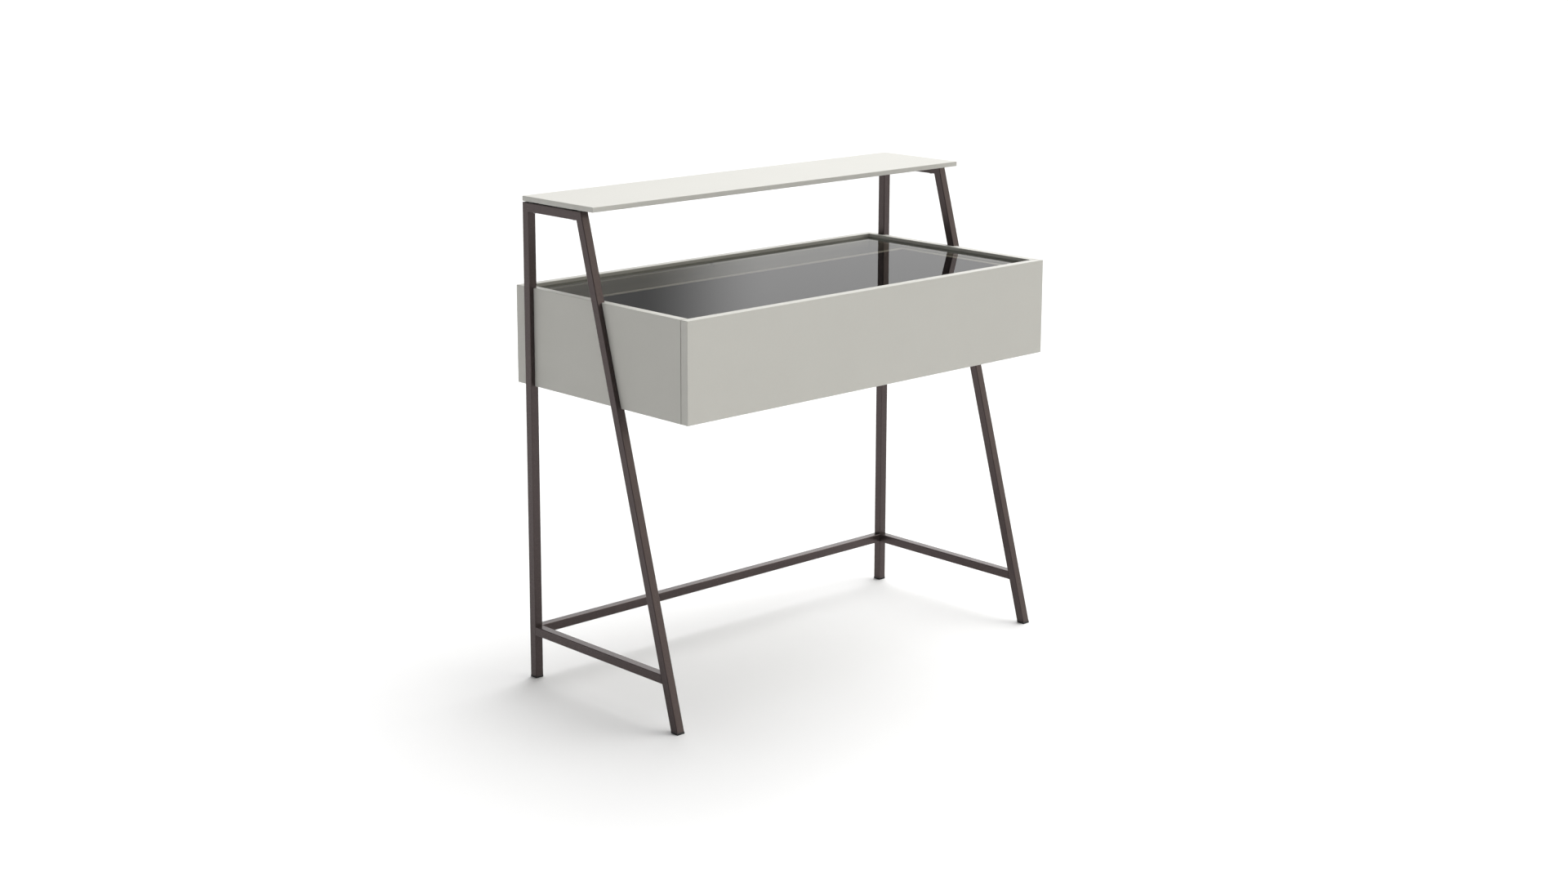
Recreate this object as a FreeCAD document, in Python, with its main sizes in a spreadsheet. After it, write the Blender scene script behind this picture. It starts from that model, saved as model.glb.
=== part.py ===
"""Dressing table: a lacquered case with a glass top and one drawer, let into two
trapezoid frames of square steel tube that carry a narrow shelf.

X runs along the width, the front faces -Y, +Z is up, and the origin is on the floor
under the middle of the case. All sizes are in millimetres.
"""
import FreeCAD, Part
import math
import os
import re

import Sketcher

# ---------------------------------------------------------------------------
# Driving dimensions
# ---------------------------------------------------------------------------
SIZES = [
    # the whole table
    ("overall_width", 1000, "between the outer faces of the two frames"),
    ("case_depth", 506, "front face of the drawer front to the back of the case"),
    ("case_bottom", 598, "floor to the underside of the case"),
    ("case_height", 195, "underside of the case to its rim"),
    ("case_overhang", 36, "case stands out behind the rear posts by this"),
    ("panel_thickness", 18, "lacquered boards of the case and the drawer front"),
    ("edge_round", 1, "softened edges of the lacquered boards"),
    ("groove_depth", 8, "how far the tubes are let into the side panels"),
    ("groove_clearance", 0.25, "play on each side of a tube in its groove"),
    # steel frames
    ("frame_height", 961, "floor to the top of the tube frame"),
    ("frame_top_depth", 179, "length of the frame along its top rail"),
    ("frame_foot_depth", 449, "back of the rear post to the front of the leg at the floor"),
    ("tube_size", 18, "outside of the square tube"),
    ("tube_wall", 1.5, "wall of the square tube"),
    ("tube_round", 1.5, "outer corner radius of the square tube"),
    ("low_rail_top", 108, "floor to the top of the low rails"),
    ("cap_flange", 4, "visible height of a foot cap"),
    ("cap_plug", 14, "part of a foot cap inside the tube"),
    ("cap_fit", 0.2, "play of a foot cap's plug in the tube"),
    # shelf
    ("shelf_depth", 215, "front to back"),
    ("shelf_thickness", 10, "lacquered board"),
    ("shelf_gap", 2, "height of the washers between frame and shelf"),
    ("washer_diameter", 14, "washers under the shelf"),
    ("shelf_screw_diameter", 4, "screws that hold the shelf"),
    ("shelf_screw_bite", 7, "screw length inside the shelf"),
    ("shelf_screw_inset", 30, "screw centre from the shelf's back and front ends of the rail"),
    ("screw_head_diameter", 8, "heads of the shelf and drawer front screws"),
    ("screw_head_height", 2, "heads of the shelf and drawer front screws"),
    # glass top
    ("glass_thickness", 6, "smoked glass"),
    ("glass_recess", 6.5, "rim down to the face of the glass"),
    ("glass_gap", 1, "play round the glass"),
    ("glass_arris", 0.8, "ground edges of the glass"),
    ("dot_height", 0.8, "clear bumpers under the glass"),
    ("dot_diameter", 8, "clear bumpers"),
    ("ledge_width", 11, "battens that carry the glass"),
    ("ledge_height", 10, "battens that carry the glass"),
    ("ledge_screw_diameter", 3.5, "screws of the battens"),
    ("ledge_screw_length", 19, "screws of the battens"),
    ("tie_bar_width", 25, "flat steel bar across the front, under the glass"),
    ("tie_bar_thickness", 2, "flat steel bar"),
    ("tie_bar_housing", 5, "how far the bar's ends are let into the side panels"),
    # finger room for opening the drawer from below
    ("finger_gap", 24, "bottom panel set back behind the drawer front"),
    ("finger_length", 420, "rebate behind the lower edge of the drawer front"),
    ("finger_height", 12, "height of the rebate"),
    ("finger_depth", 8, "depth of the rebate"),
    # drawer
    ("front_gap", 1, "drawer front to the front ends of the side panels"),
    ("drawer_top_gap", 1.2, "drawer box below the steel bar"),
    ("drawer_floor_gap", 8.5, "drawer box above the bottom panel"),
    ("drawer_board", 12, "sides, inner front and back of the drawer"),
    ("drawer_tail", 6, "drawer box behind the end of its runners"),
    ("base_thickness", 6, "drawer bottom"),
    ("base_rise", 10, "drawer bottom above the lower edge of its boards"),
    ("base_groove", 5, "grooves for the drawer bottom"),
    ("base_fit", 0.2, "play of the drawer bottom in its grooves"),
    ("liner_wall", 2, "suede-faced liner inside the drawer"),
    ("liner_drop", 1, "top of the liner below the edge of the drawer"),
    # runners
    ("runner_gap", 12.7, "drawer box to side panel, filled by a runner"),
    ("runner_length", 350, "closed length of the runners"),
    ("runner_rise", 60, "middle of the runner above the drawer box's lower edge"),
    ("runner_height", 45, "outer member"),
    ("runner_reach", 10.5, "outer member's flanges, from the side panel"),
    ("runner_sheet", 1.2, "sheet steel of the runners"),
    ("ball_room", 3, "space for the balls between two members"),
    ("web_room", 2.1, "space between the outer and the middle member's webs"),
    ("middle_reach", 6.7, "middle member's flanges, with its web"),
    ("inner_reach", 7.2, "drawer member's flanges, with its web"),
    ("runner_screw_diameter", 3.5, "screws of the runners"),
    ("runner_screw_length", 10, "screws of the runners, under the head"),
    ("runner_head_diameter", 7, "screws of the runners"),
    ("runner_head_height", 1, "screws of the runners"),
    ("runner_screw_inset", 35, "first and last screw from the runner's ends"),
    # bolts between frame and case
    ("bolt_diameter", 6, "bolts from the case into the tubes"),
    ("bolt_play", 0.5, "hole in the side panel larger than the bolt"),
    ("bolt_length", 18, "under the head"),
    ("bolt_head_diameter", 12, "button head"),
    ("bolt_head_height", 3.3, "button head"),
    ("bolt_low_inset", 30, "lower bolts above the underside of the case"),
    ("bolt_high_inset", 48, "upper bolts below the rim"),
    ("rivet_nut_diameter", 9, "threaded rivet nuts in the tubes"),
    ("rivet_nut_length", 9, "threaded rivet nuts in the tubes"),
    # case joints
    ("dowel_diameter", 8, "wooden dowels of the case"),
    ("dowel_length", 26, "wooden dowels of the case"),
    ("dowel_bite", 8, "dowel length inside a side panel"),
    ("cam_diameter", 15, "eccentric fittings"),
    ("cam_cover", 0.5, "eccentric fittings deeper than their bolts by this"),
    ("cam_inset", 24, "centre of a fitting from the panel's end"),
    ("cam_bolt_diameter", 6, "bolts that the eccentric fittings pull"),
    ("cam_bolt_bite", 8, "cam bolt length inside a side panel"),
    ("case_joint_inset", 60, "dowels from the ends of a joint"),
    ("case_joint_step", 32, "eccentric fitting from its dowel"),
    ("drawer_dowel_diameter", 6, "wooden dowels of the drawer"),
    ("drawer_dowel_length", 24, "wooden dowels of the drawer"),
    ("drawer_dowel_bite", 8, "dowel length inside a drawer side"),
    ("drawer_dowel_inset", 35, "dowels from the drawer's upper and lower edges"),
    ("front_screw_bite", 12, "screw length inside the drawer front"),
    ("front_screw_inset", 90, "outer screws from the drawer box's sides"),
    ("bumper_diameter", 8, "soft bumpers on the front ends of the side panels"),
    ("bumper_height", 0.8, "soft bumpers"),
]

doc = FreeCAD.newDocument("DressingTable")
sheet = doc.addObject("Spreadsheet::Sheet", "Sizes")
for row, (alias, size, meaning) in enumerate(SIZES, start=1):
    sheet.set("A%d" % row, alias)
    sheet.set("B%d" % row, str(size))
    sheet.set("C%d" % row, meaning)
    sheet.setAlias("B%d" % row, alias)
doc.recompute()

SIDES = (("left", -1), ("right", 1))


def formula(text):
    """Turn a formula in the sheet's own words into an expression."""
    return re.sub(r"[a-z]+(?:_[a-z]+)+", lambda word: "Sizes." + word.group(0), text)


def across(sign, inner, outer):
    """The X span of a piece given by its distances from the middle plane."""
    if sign > 0:
        return inner, outer
    return "-(%s)" % outer, "-(%s)" % inner


# ---------------------------------------------------------------------------
# Faces that several pieces share, as formulas on the sheet
# ---------------------------------------------------------------------------
frame_outer = "(overall_width/2)"
frame_inner = "(overall_width/2 - tube_size)"
case_outer = "(overall_width/2 - tube_size + groove_depth)"
case_inner = f"({case_outer} - panel_thickness)"
case_top = "(case_bottom + case_height)"
case_back = "(case_depth/2)"
case_back_inner = f"({case_back} - panel_thickness)"
front_inner = "(panel_thickness - case_depth/2)"
side_front = f"({front_inner} + front_gap)"
floor_top = "(case_bottom + panel_thickness)"

post_back = f"({case_back} - case_overhang)"
post_front = f"({post_back} - tube_size)"
post_middle = f"({post_back} - tube_size/2)"
lean = "((frame_foot_depth - frame_top_depth)/frame_height)"
slant = f"sqrt(1 + {lean}^2)"
rail_under = "(frame_height - tube_size)"
low_rail_under = "(low_rail_top - tube_size)"
shelf_under = "(frame_height + shelf_gap)"

glass_top_face = f"({case_top} - glass_recess)"
glass_under = f"({glass_top_face} - glass_thickness)"
ledge_top = f"({glass_under} - dot_height)"
ledge_under = f"({ledge_top} - ledge_height)"
ledge_inner = f"({case_inner} - ledge_width)"
bar_under = f"({ledge_top} - tie_bar_thickness)"
bar_front = f"({side_front} + glass_gap)"
bar_back = f"({bar_front} + tie_bar_width)"

drawer_high = f"({bar_under} - drawer_top_gap)"
drawer_low = f"({floor_top} + drawer_floor_gap)"
drawer_outer = f"({case_inner} - runner_gap)"
drawer_inner = f"({drawer_outer} - drawer_board)"
drawer_end = f"({front_inner} + runner_length + drawer_tail)"
drawer_inner_front = f"({front_inner} + drawer_board)"
drawer_inner_back = f"({drawer_end} - drawer_board)"
base_low = f"({drawer_low} + base_rise)"
base_high = f"({base_low} + base_thickness)"
runner_middle = f"({drawer_low} + runner_rise)"
runner_front = f"({side_front} + front_gap)"
runner_end = f"({runner_front} + runner_length)"


def leg_front(height):
    """Y of the leaning leg's front face at a height above the floor."""
    return f"({post_back} - frame_foot_depth + {lean}*({height}))"


def leg_back(height):
    """Y of the leaning leg's rear face at a height above the floor."""
    return f"({leg_front(height)} + tube_size*{slant})"


# ---------------------------------------------------------------------------
# Ways of making a piece
# ---------------------------------------------------------------------------
pieces = {}


def keep(label, shape_object):
    """Name a finished piece and list it for export."""
    shape_object.Label = label
    pieces[label] = shape_object
    return shape_object


def place(shape_object, axis, text):
    """Bind one coordinate of an object's place to the sheet."""
    shape_object.setExpression("Placement.Base." + axis, formula(text))


def outline(body, role, name, points, lift="0"):
    """A closed polygon on one of the body's own planes, every corner driven by the sheet."""
    sketch = body.newObject("Sketcher::SketchObject", name)
    plane = next(item for item in body.Origin.OriginFeatures if item.Role == role)
    sketch.AttachmentSupport = [(plane, "")]
    sketch.MapMode = "FlatFace"
    sketch.setExpression("AttachmentOffset.Base.z", formula(lift))
    count = len(points)
    corners = [FreeCAD.Vector(math.cos(2*math.pi*i/count), math.sin(2*math.pi*i/count), 0)
               for i in range(count)]
    for i in range(count):
        sketch.addGeometry(Part.LineSegment(corners[i], corners[(i + 1) % count]), False)
    for i in range(count):
        sketch.addConstraint(Sketcher.Constraint("Coincident", i, 2, (i + 1) % count, 1))
    for i, (first, second) in enumerate(points):
        for direction, text in (("DistanceX", first), ("DistanceY", second)):
            index = sketch.addConstraint(Sketcher.Constraint(direction, -1, 1, i, 1, 1.0))
            sketch.setExpression("Constraints[%d]" % index, formula(text))
    return sketch


def pad(body, sketch, length):
    """Grow a sketch into the body along its normal."""
    feature = body.newObject("PartDesign::Pad", body.Name + "_pad")
    feature.Profile = sketch
    feature.setExpression("Length", formula(length))
    doc.recompute()
    return feature


def pocket(body, sketch, length):
    """Cut a sketch out of the body along its normal, and prove that it cut something."""
    before = body.Shape.Volume
    feature = body.newObject("PartDesign::Pocket", body.Name + "_pocket")
    feature.Profile = sketch
    feature.Reversed = True
    feature.setExpression("Length", formula(length))
    doc.recompute()
    assert body.Shape.Volume < before - 1, body.Label + ": the pocket cut nothing"
    return feature


def soften(body, base, kind, size, wanted):
    """Fillet or chamfer the straight edges of a feature that pass a test."""
    names = []
    for number, edge in enumerate(base.Shape.Edges, start=1):
        start, end = edge.Vertexes[0].Point, edge.Vertexes[-1].Point
        if wanted(start, end):
            names.append("Edge%d" % number)
    assert names, body.Label + ": no edge to soften"
    feature = body.newObject("PartDesign::" + kind, body.Name + "_" + kind.lower())
    feature.Base = (base, names)
    feature.setExpression("Radius" if kind == "Fillet" else "Size", formula(size))
    doc.recompute()
    return feature


def box(name, span_x, span_y, span_z):
    """A plain block between two values on each axis."""
    block = doc.addObject("Part::Box", name)
    for size, axis, (low, high) in (("Length", "x", span_x), ("Width", "y", span_y),
                                    ("Height", "z", span_z)):
        block.setExpression(size, formula(f"({high}) - ({low})"))
        place(block, axis, low)
    return block


def any_edge(start, end):
    return True


def along(axis):
    """A test for edges that run along X, Y or Z."""
    others = [name for name in "xyz" if name != axis]
    return lambda start, end: all(abs(getattr(start, name) - getattr(end, name)) < 1e-6
                                  for name in others)


def softened_board(name, span_x, span_y, span_z, wanted, kind="Fillet", size="edge_round"):
    """A board whose chosen edges are rounded or chamfered."""
    body = doc.addObject("PartDesign::Body", name)
    corners = [(span_x[0], span_y[0]), (span_x[1], span_y[0]),
               (span_x[1], span_y[1]), (span_x[0], span_y[1])]
    sketch = outline(body, "XY_Plane", name + "_outline", corners)
    feature = pad(body, sketch, f"({span_z[1]}) - ({span_z[0]})")
    soften(body, feature, kind, size, wanted)
    place(body, "z", span_z[0])
    return body


TURNS = {
    "+X": FreeCAD.Rotation(FreeCAD.Vector(0, 1, 0), 90),
    "-X": FreeCAD.Rotation(FreeCAD.Vector(0, 1, 0), -90),
    "+Y": FreeCAD.Rotation(FreeCAD.Vector(1, 0, 0), -90),
    "-Y": FreeCAD.Rotation(FreeCAD.Vector(1, 0, 0), 90),
    "+Z": FreeCAD.Rotation(),
    "-Z": FreeCAD.Rotation(FreeCAD.Vector(1, 0, 0), 180),
}


def rod(name, towards, base, diameter, length):
    """A round bar or drill that starts at a point and runs along an axis."""
    cylinder = doc.addObject("Part::Cylinder", name)
    cylinder.Placement = FreeCAD.Placement(FreeCAD.Vector(), TURNS[towards])
    cylinder.setExpression("Radius", formula(f"({diameter})/2"))
    cylinder.setExpression("Height", formula(length))
    for axis, text in zip("xyz", base):
        place(cylinder, axis, text)
    return cylinder


def cut(name, base, tools):
    """Take separate cutters away from a base."""
    cutters = doc.addObject("Part::Compound", name + "_cutters")
    cutters.Links = tools
    result = doc.addObject("Part::Cut", name + "_cut")
    result.Base = base
    result.Tool = cutters
    return result


def fuse(name, first, second):
    """Join two overlapping or touching solids into one piece."""
    result = doc.addObject("Part::Fuse", name)
    result.Base = first
    result.Tool = second
    result.Refine = True
    return result


def group(label, members):
    """Identical small parts that share one node."""
    compound = doc.addObject("Part::Compound", label + "_group")
    compound.Links = members
    return keep(label, compound)


def screw(name, towards, base, head, shank):
    """A screw: its head stands on the base point, its shank runs along the axis.

    head and shank are (diameter, length) pairs of formulas.
    """
    sign = "-" if towards[0] == "+" else "+"
    shank_rod = rod(name + "_shank", towards, base, shank[0], shank[1])
    head_rod = rod(name + "_head", sign + towards[1], base, head[0], head[1])
    return fuse(name, shank_rod, head_rod)


# ---------------------------------------------------------------------------
# Steel frames: square tube, mitred at the top corners and butted at the low rail
# ---------------------------------------------------------------------------
def long_edge(start, end):
    """A tube's edge along its length, which no edge across it comes near."""
    return (end - start).Length > 2.5*sheet.tube_size


def side_tube(name, sign, outer_points, bore_points):
    """A tube lying in a side frame's plane, from its side view and its bore's side view."""
    body = doc.addObject("PartDesign::Body", name)
    feature = pad(body, outline(body, "YZ_Plane", name + "_outline", outer_points), "tube_size")
    soften(body, feature, "Fillet", "tube_round", long_edge)
    bore = outline(body, "YZ_Plane", name + "_bore", bore_points, lift="tube_wall")
    pocket(body, bore, "tube_size - 2*tube_wall")
    place(body, "x", across(sign, frame_inner, frame_outer)[0])
    return body


bolt_heights = ("(case_bottom + bolt_low_inset)", f"({case_top} - bolt_high_inset)")


def leg_middle(height):
    return f"({leg_front(height)} + tube_size*{slant}/2)"


def bolt_places():
    """Y and Z of the four bolts that join one frame to its side panel."""
    return ([(post_middle, height) for height in bolt_heights]
            + [(leg_middle(height), height) for height in bolt_heights])


rail_corner_front = leg_front("frame_height")
rail_inner_front = leg_back(rail_under)
shelf_screw_y = (f"({post_back} - shelf_screw_inset)",
                 f"({rail_corner_front} + shelf_screw_inset)")
past_end = "(2*tube_size)"

for side, sign in SIDES:
    tube_middle = f"{sign}*(overall_width/2 - tube_size/2)"
    towards = "+X" if sign > 0 else "-X"

    post = side_tube(
        side + "_post_tube", sign,
        [(post_front, "cap_flange"), (post_back, "cap_flange"),
         (post_back, "frame_height"), (post_front, rail_under)],
        [(f"{post_front} + tube_wall", f"-{past_end}"), (f"{post_back} - tube_wall", f"-{past_end}"),
         (f"{post_back} - tube_wall", f"frame_height + {past_end}"),
         (f"{post_front} + tube_wall", f"frame_height + {past_end}")])
    leg = side_tube(
        side + "_leg_tube", sign,
        [(leg_front("cap_flange"), "cap_flange"), (leg_back("cap_flange"), "cap_flange"),
         (rail_inner_front, rail_under), (rail_corner_front, "frame_height")],
        [(f"{leg_front('-' + past_end)} + tube_wall*{slant}", f"-{past_end}"),
         (f"{leg_back('-' + past_end)} - tube_wall*{slant}", f"-{past_end}"),
         (f"{leg_back('frame_height + ' + past_end)} - tube_wall*{slant}",
          f"frame_height + {past_end}"),
         (f"{leg_front('frame_height + ' + past_end)} + tube_wall*{slant}",
          f"frame_height + {past_end}")])
    for label, tube, holes in ((side + "_rear_post", post, bolt_places()[:2]),
                               (side + "_front_leg", leg, bolt_places()[2:])):
        drills = [rod(f"{label}_drill_{i}", towards, (f"{sign}*({frame_inner} - tube_wall)", y, z),
                      "rivet_nut_diameter", "3*tube_wall") for i, (y, z) in enumerate(holes)]
        keep(label, cut(label, tube, drills))

    rail = side_tube(
        side + "_rail_tube", sign,
        [(rail_inner_front, rail_under), (post_front, rail_under),
         (post_back, "frame_height"), (rail_corner_front, "frame_height")],
        [(f"{rail_corner_front} - {past_end}", f"{rail_under} + tube_wall"),
         (f"{post_back} + {past_end}", f"{rail_under} + tube_wall"),
         (f"{post_back} + {past_end}", "frame_height - tube_wall"),
         (f"{rail_corner_front} - {past_end}", "frame_height - tube_wall")])
    drills = [rod(f"{side}_rail_drill_{i}", "+Z", (tube_middle, y, f"{rail_under} - tube_wall"),
                  "shelf_screw_diameter + bolt_play", "tube_size + 2*tube_wall")
              for i, y in enumerate(shelf_screw_y)]
    keep(side + "_top_rail", cut(side + "_top_rail", rail, drills))

    low_rail = side_tube(
        side + "_low_rail_tube", sign,
        [(leg_back(low_rail_under), low_rail_under), (post_front, low_rail_under),
         (post_front, "low_rail_top"), (leg_back("low_rail_top"), "low_rail_top")],
        [(f"{leg_front(low_rail_under)} - {past_end}", f"{low_rail_under} + tube_wall"),
         (f"{post_back} + {past_end}", f"{low_rail_under} + tube_wall"),
         (f"{post_back} + {past_end}", "low_rail_top - tube_wall"),
         (f"{leg_front(low_rail_under)} - {past_end}", "low_rail_top - tube_wall")])
    keep(side + "_low_rail", low_rail)

# the stretcher joins the two rear posts at the height of the low rails
stretcher = doc.addObject("PartDesign::Body", "rear_stretcher_tube")
stretcher_pad = pad(
    stretcher,
    outline(stretcher, "YZ_Plane", "stretcher_section",
            [(post_front, low_rail_under), (post_back, low_rail_under),
             (post_back, "low_rail_top"), (post_front, "low_rail_top")]),
    f"2*{frame_inner}")
soften(stretcher, stretcher_pad, "Fillet", "tube_round", along("x"))
pocket(
    stretcher,
    outline(stretcher, "YZ_Plane", "stretcher_bore",
            [(f"{post_front} + tube_wall", f"{low_rail_under} + tube_wall"),
             (f"{post_back} - tube_wall", f"{low_rail_under} + tube_wall"),
             (f"{post_back} - tube_wall", "low_rail_top - tube_wall"),
             (f"{post_front} + tube_wall", "low_rail_top - tube_wall")]),
    f"2*{frame_inner}")
place(stretcher, "x", f"-{frame_inner}")
keep("rear_stretcher", stretcher)


# ---------------------------------------------------------------------------
# Foot caps: a flange as wide as the tube and a plug inside it
# ---------------------------------------------------------------------------
def foot_cap(name, sign, front, back):
    """front and back give the tube's faces at a height above the floor."""
    body = doc.addObject("PartDesign::Body", name)
    pad(body, outline(body, "YZ_Plane", name + "_flange",
                      [(front("0"), "0"), (back("0"), "0"),
                       (back("cap_flange"), "cap_flange"), (front("cap_flange"), "cap_flange")]),
        "tube_size")
    top = "(cap_flange + cap_plug)"
    inset = "(tube_wall + cap_fit)"
    pad(body, outline(body, "YZ_Plane", name + "_plug",
                      [(f"{front('cap_flange/2')} + {inset}*{slant}", "cap_flange/2"),
                       (f"{back('cap_flange/2')} - {inset}*{slant}", "cap_flange/2"),
                       (f"{back(top)} - {inset}*{slant}", top),
                       (f"{front(top)} + {inset}*{slant}", top)], lift=inset),
        f"tube_size - 2*{inset}")
    place(body, "x", across(sign, frame_inner, frame_outer)[0])
    return body


group("rear_foot_caps", [foot_cap(side + "_rear_cap", sign, lambda height: post_front,
                                  lambda height: post_back) for side, sign in SIDES])
group("front_foot_caps", [foot_cap(side + "_front_cap", sign, leg_front, leg_back)
                          for side, sign in SIDES])

# ---------------------------------------------------------------------------
# Shelf: a thin lacquered board on four washers, screwed up through the top rails
# ---------------------------------------------------------------------------
shelf_blank = softened_board("shelf_blank", (f"-{frame_outer}", frame_outer),
                             (f"{post_back} - shelf_depth", post_back),
                             (shelf_under, f"{shelf_under} + shelf_thickness"), any_edge)
shelf_places = [(side, sign, i, y) for side, sign in SIDES for i, y in enumerate(shelf_screw_y)]
shelf_drills, washers, shelf_screws = [], [], []
for side, sign, i, y in shelf_places:
    middle = f"{sign}*(overall_width/2 - tube_size/2)"
    tag = f"{side}_{i}"
    shelf_drills.append(rod("shelf_drill_" + tag, "+Z", (middle, y, f"{shelf_under} - shelf_gap/2"),
                            "shelf_screw_diameter", "shelf_screw_bite + shelf_gap/2"))
    washer = rod("washer_blank_" + tag, "+Z", (middle, y, "frame_height"),
                 "washer_diameter", "shelf_gap")
    washer_hole = rod("washer_hole_" + tag, "+Z", (middle, y, "frame_height - shelf_gap"),
                      "shelf_screw_diameter", "3*shelf_gap")
    washers.append(cut("washer_" + tag, washer, [washer_hole]))
    shelf_screws.append(screw("shelf_screw_" + tag, "+Z", (middle, y, rail_under),
                              ("screw_head_diameter", "screw_head_height"),
                              ("shelf_screw_diameter", "tube_size + shelf_gap + shelf_screw_bite")))
keep("shelf_board", cut("shelf_board", shelf_blank, shelf_drills))
group("shelf_washers", washers)
group("shelf_screws", shelf_screws)

# ---------------------------------------------------------------------------
# Case joints: dowels and eccentric fittings, listed once for the holes and the parts
# ---------------------------------------------------------------------------
floor_middle = "(case_bottom + panel_thickness/2)"
back_middle = f"({case_back} - panel_thickness/2)"
floor_front = f"({side_front} + finger_gap)"
cam_high = "(panel_thickness/2 + cam_bolt_diameter/2 + cam_cover)"
joint_spots = []
for name, spot in (("floor_front", f"({floor_front} + case_joint_inset)"),
                   ("floor_back", f"({case_back_inner} - case_joint_inset)")):
    step = "case_joint_step" if name == "floor_front" else "-case_joint_step"
    joint_spots.append((name, (spot, floor_middle), (f"{spot} + {step}", floor_middle), "floor"))
for name, spot, step in (("back_low", "(case_bottom + case_joint_inset/2)", "case_joint_step"),
                         ("back_high", f"({case_top} - case_joint_inset)", "-case_joint_step")):
    joint_spots.append((name, (back_middle, spot), (back_middle, f"{spot} + {step}"), "back"))


def case_dowel(name, sign, spot, extra="0"):
    """A dowel across the joint between a side panel and the floor or back panel."""
    towards = "-X" if sign > 0 else "+X"
    return rod(name, towards, (f"{sign}*({case_inner} + dowel_bite + {extra})", spot[0], spot[1]),
               "dowel_diameter", f"dowel_length + 2*({extra})")


def cam_bolt(name, sign, spot, extra="0"):
    """The bolt that a cam pulls, from the side panel to the cam's rim."""
    towards = "-X" if sign > 0 else "+X"
    return rod(name, towards, (f"{sign}*({case_inner} + cam_bolt_bite)", spot[0], spot[1]),
               "cam_bolt_diameter", f"cam_bolt_bite + cam_inset - cam_diameter/2 + {extra}")


def cam(name, sign, spot, panel):
    """The eccentric disc, let in from the floor's underside or the back panel's inner face."""
    middle = f"{sign}*({case_inner} - cam_inset)"
    if panel == "floor":
        return rod(name, "+Z", (middle, spot[0], "case_bottom"), "cam_diameter", cam_high)
    return rod(name, "+Y", (middle, case_back_inner, spot[1]), "cam_diameter", cam_high)


case_dowels, cam_bolts, cams = [], [], []
holes_for = {"left": [], "right": [], "floor": [], "back": []}
pockets_for = {"floor": [], "back": []}
for side, sign in SIDES:
    for name, dowel_spot, cam_spot, panel in joint_spots:
        tag = f"{side}_{name}"
        case_dowels.append(case_dowel("dowel_" + tag, sign, dowel_spot))
        cam_bolts.append(cam_bolt("cam_bolt_" + tag, sign, cam_spot))
        cams.append(cam("cam_" + tag, sign, cam_spot, panel))
        for owner in (side, panel):
            holes_for[owner] += [
                case_dowel(f"{owner}_dowel_hole_{tag}", sign, dowel_spot, extra="glass_gap/2"),
                cam_bolt(f"{owner}_bolt_hole_{tag}", sign, cam_spot, extra="cam_diameter/2")]
        pockets_for[panel].append(cam(f"{panel}_cam_hole_{tag}", sign, cam_spot, panel))
group("case_dowels", case_dowels)
group("cam_bolts", cam_bolts)
group("cam_locks", cams)

# ---------------------------------------------------------------------------
# Side panels: grooved on the outside for the post and the leaning leg
# ---------------------------------------------------------------------------
overcut = "groove_depth"
ledge_screw_z = f"({ledge_under} + ledge_height/2)"
ledge_screw_y = (f"({bar_back} + case_joint_inset)", f"(({bar_back} + {case_back_inner})/2)",
                 f"({case_back_inner} - case_joint_inset)")
runner_screw_y = (f"({runner_front} + runner_screw_inset)", f"({runner_front} + runner_length/2)",
                  f"({runner_end} - runner_screw_inset)")
bumper_z = (f"({floor_top} + bumper_diameter)", f"({bar_under} - 2*bumper_diameter)")

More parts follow.
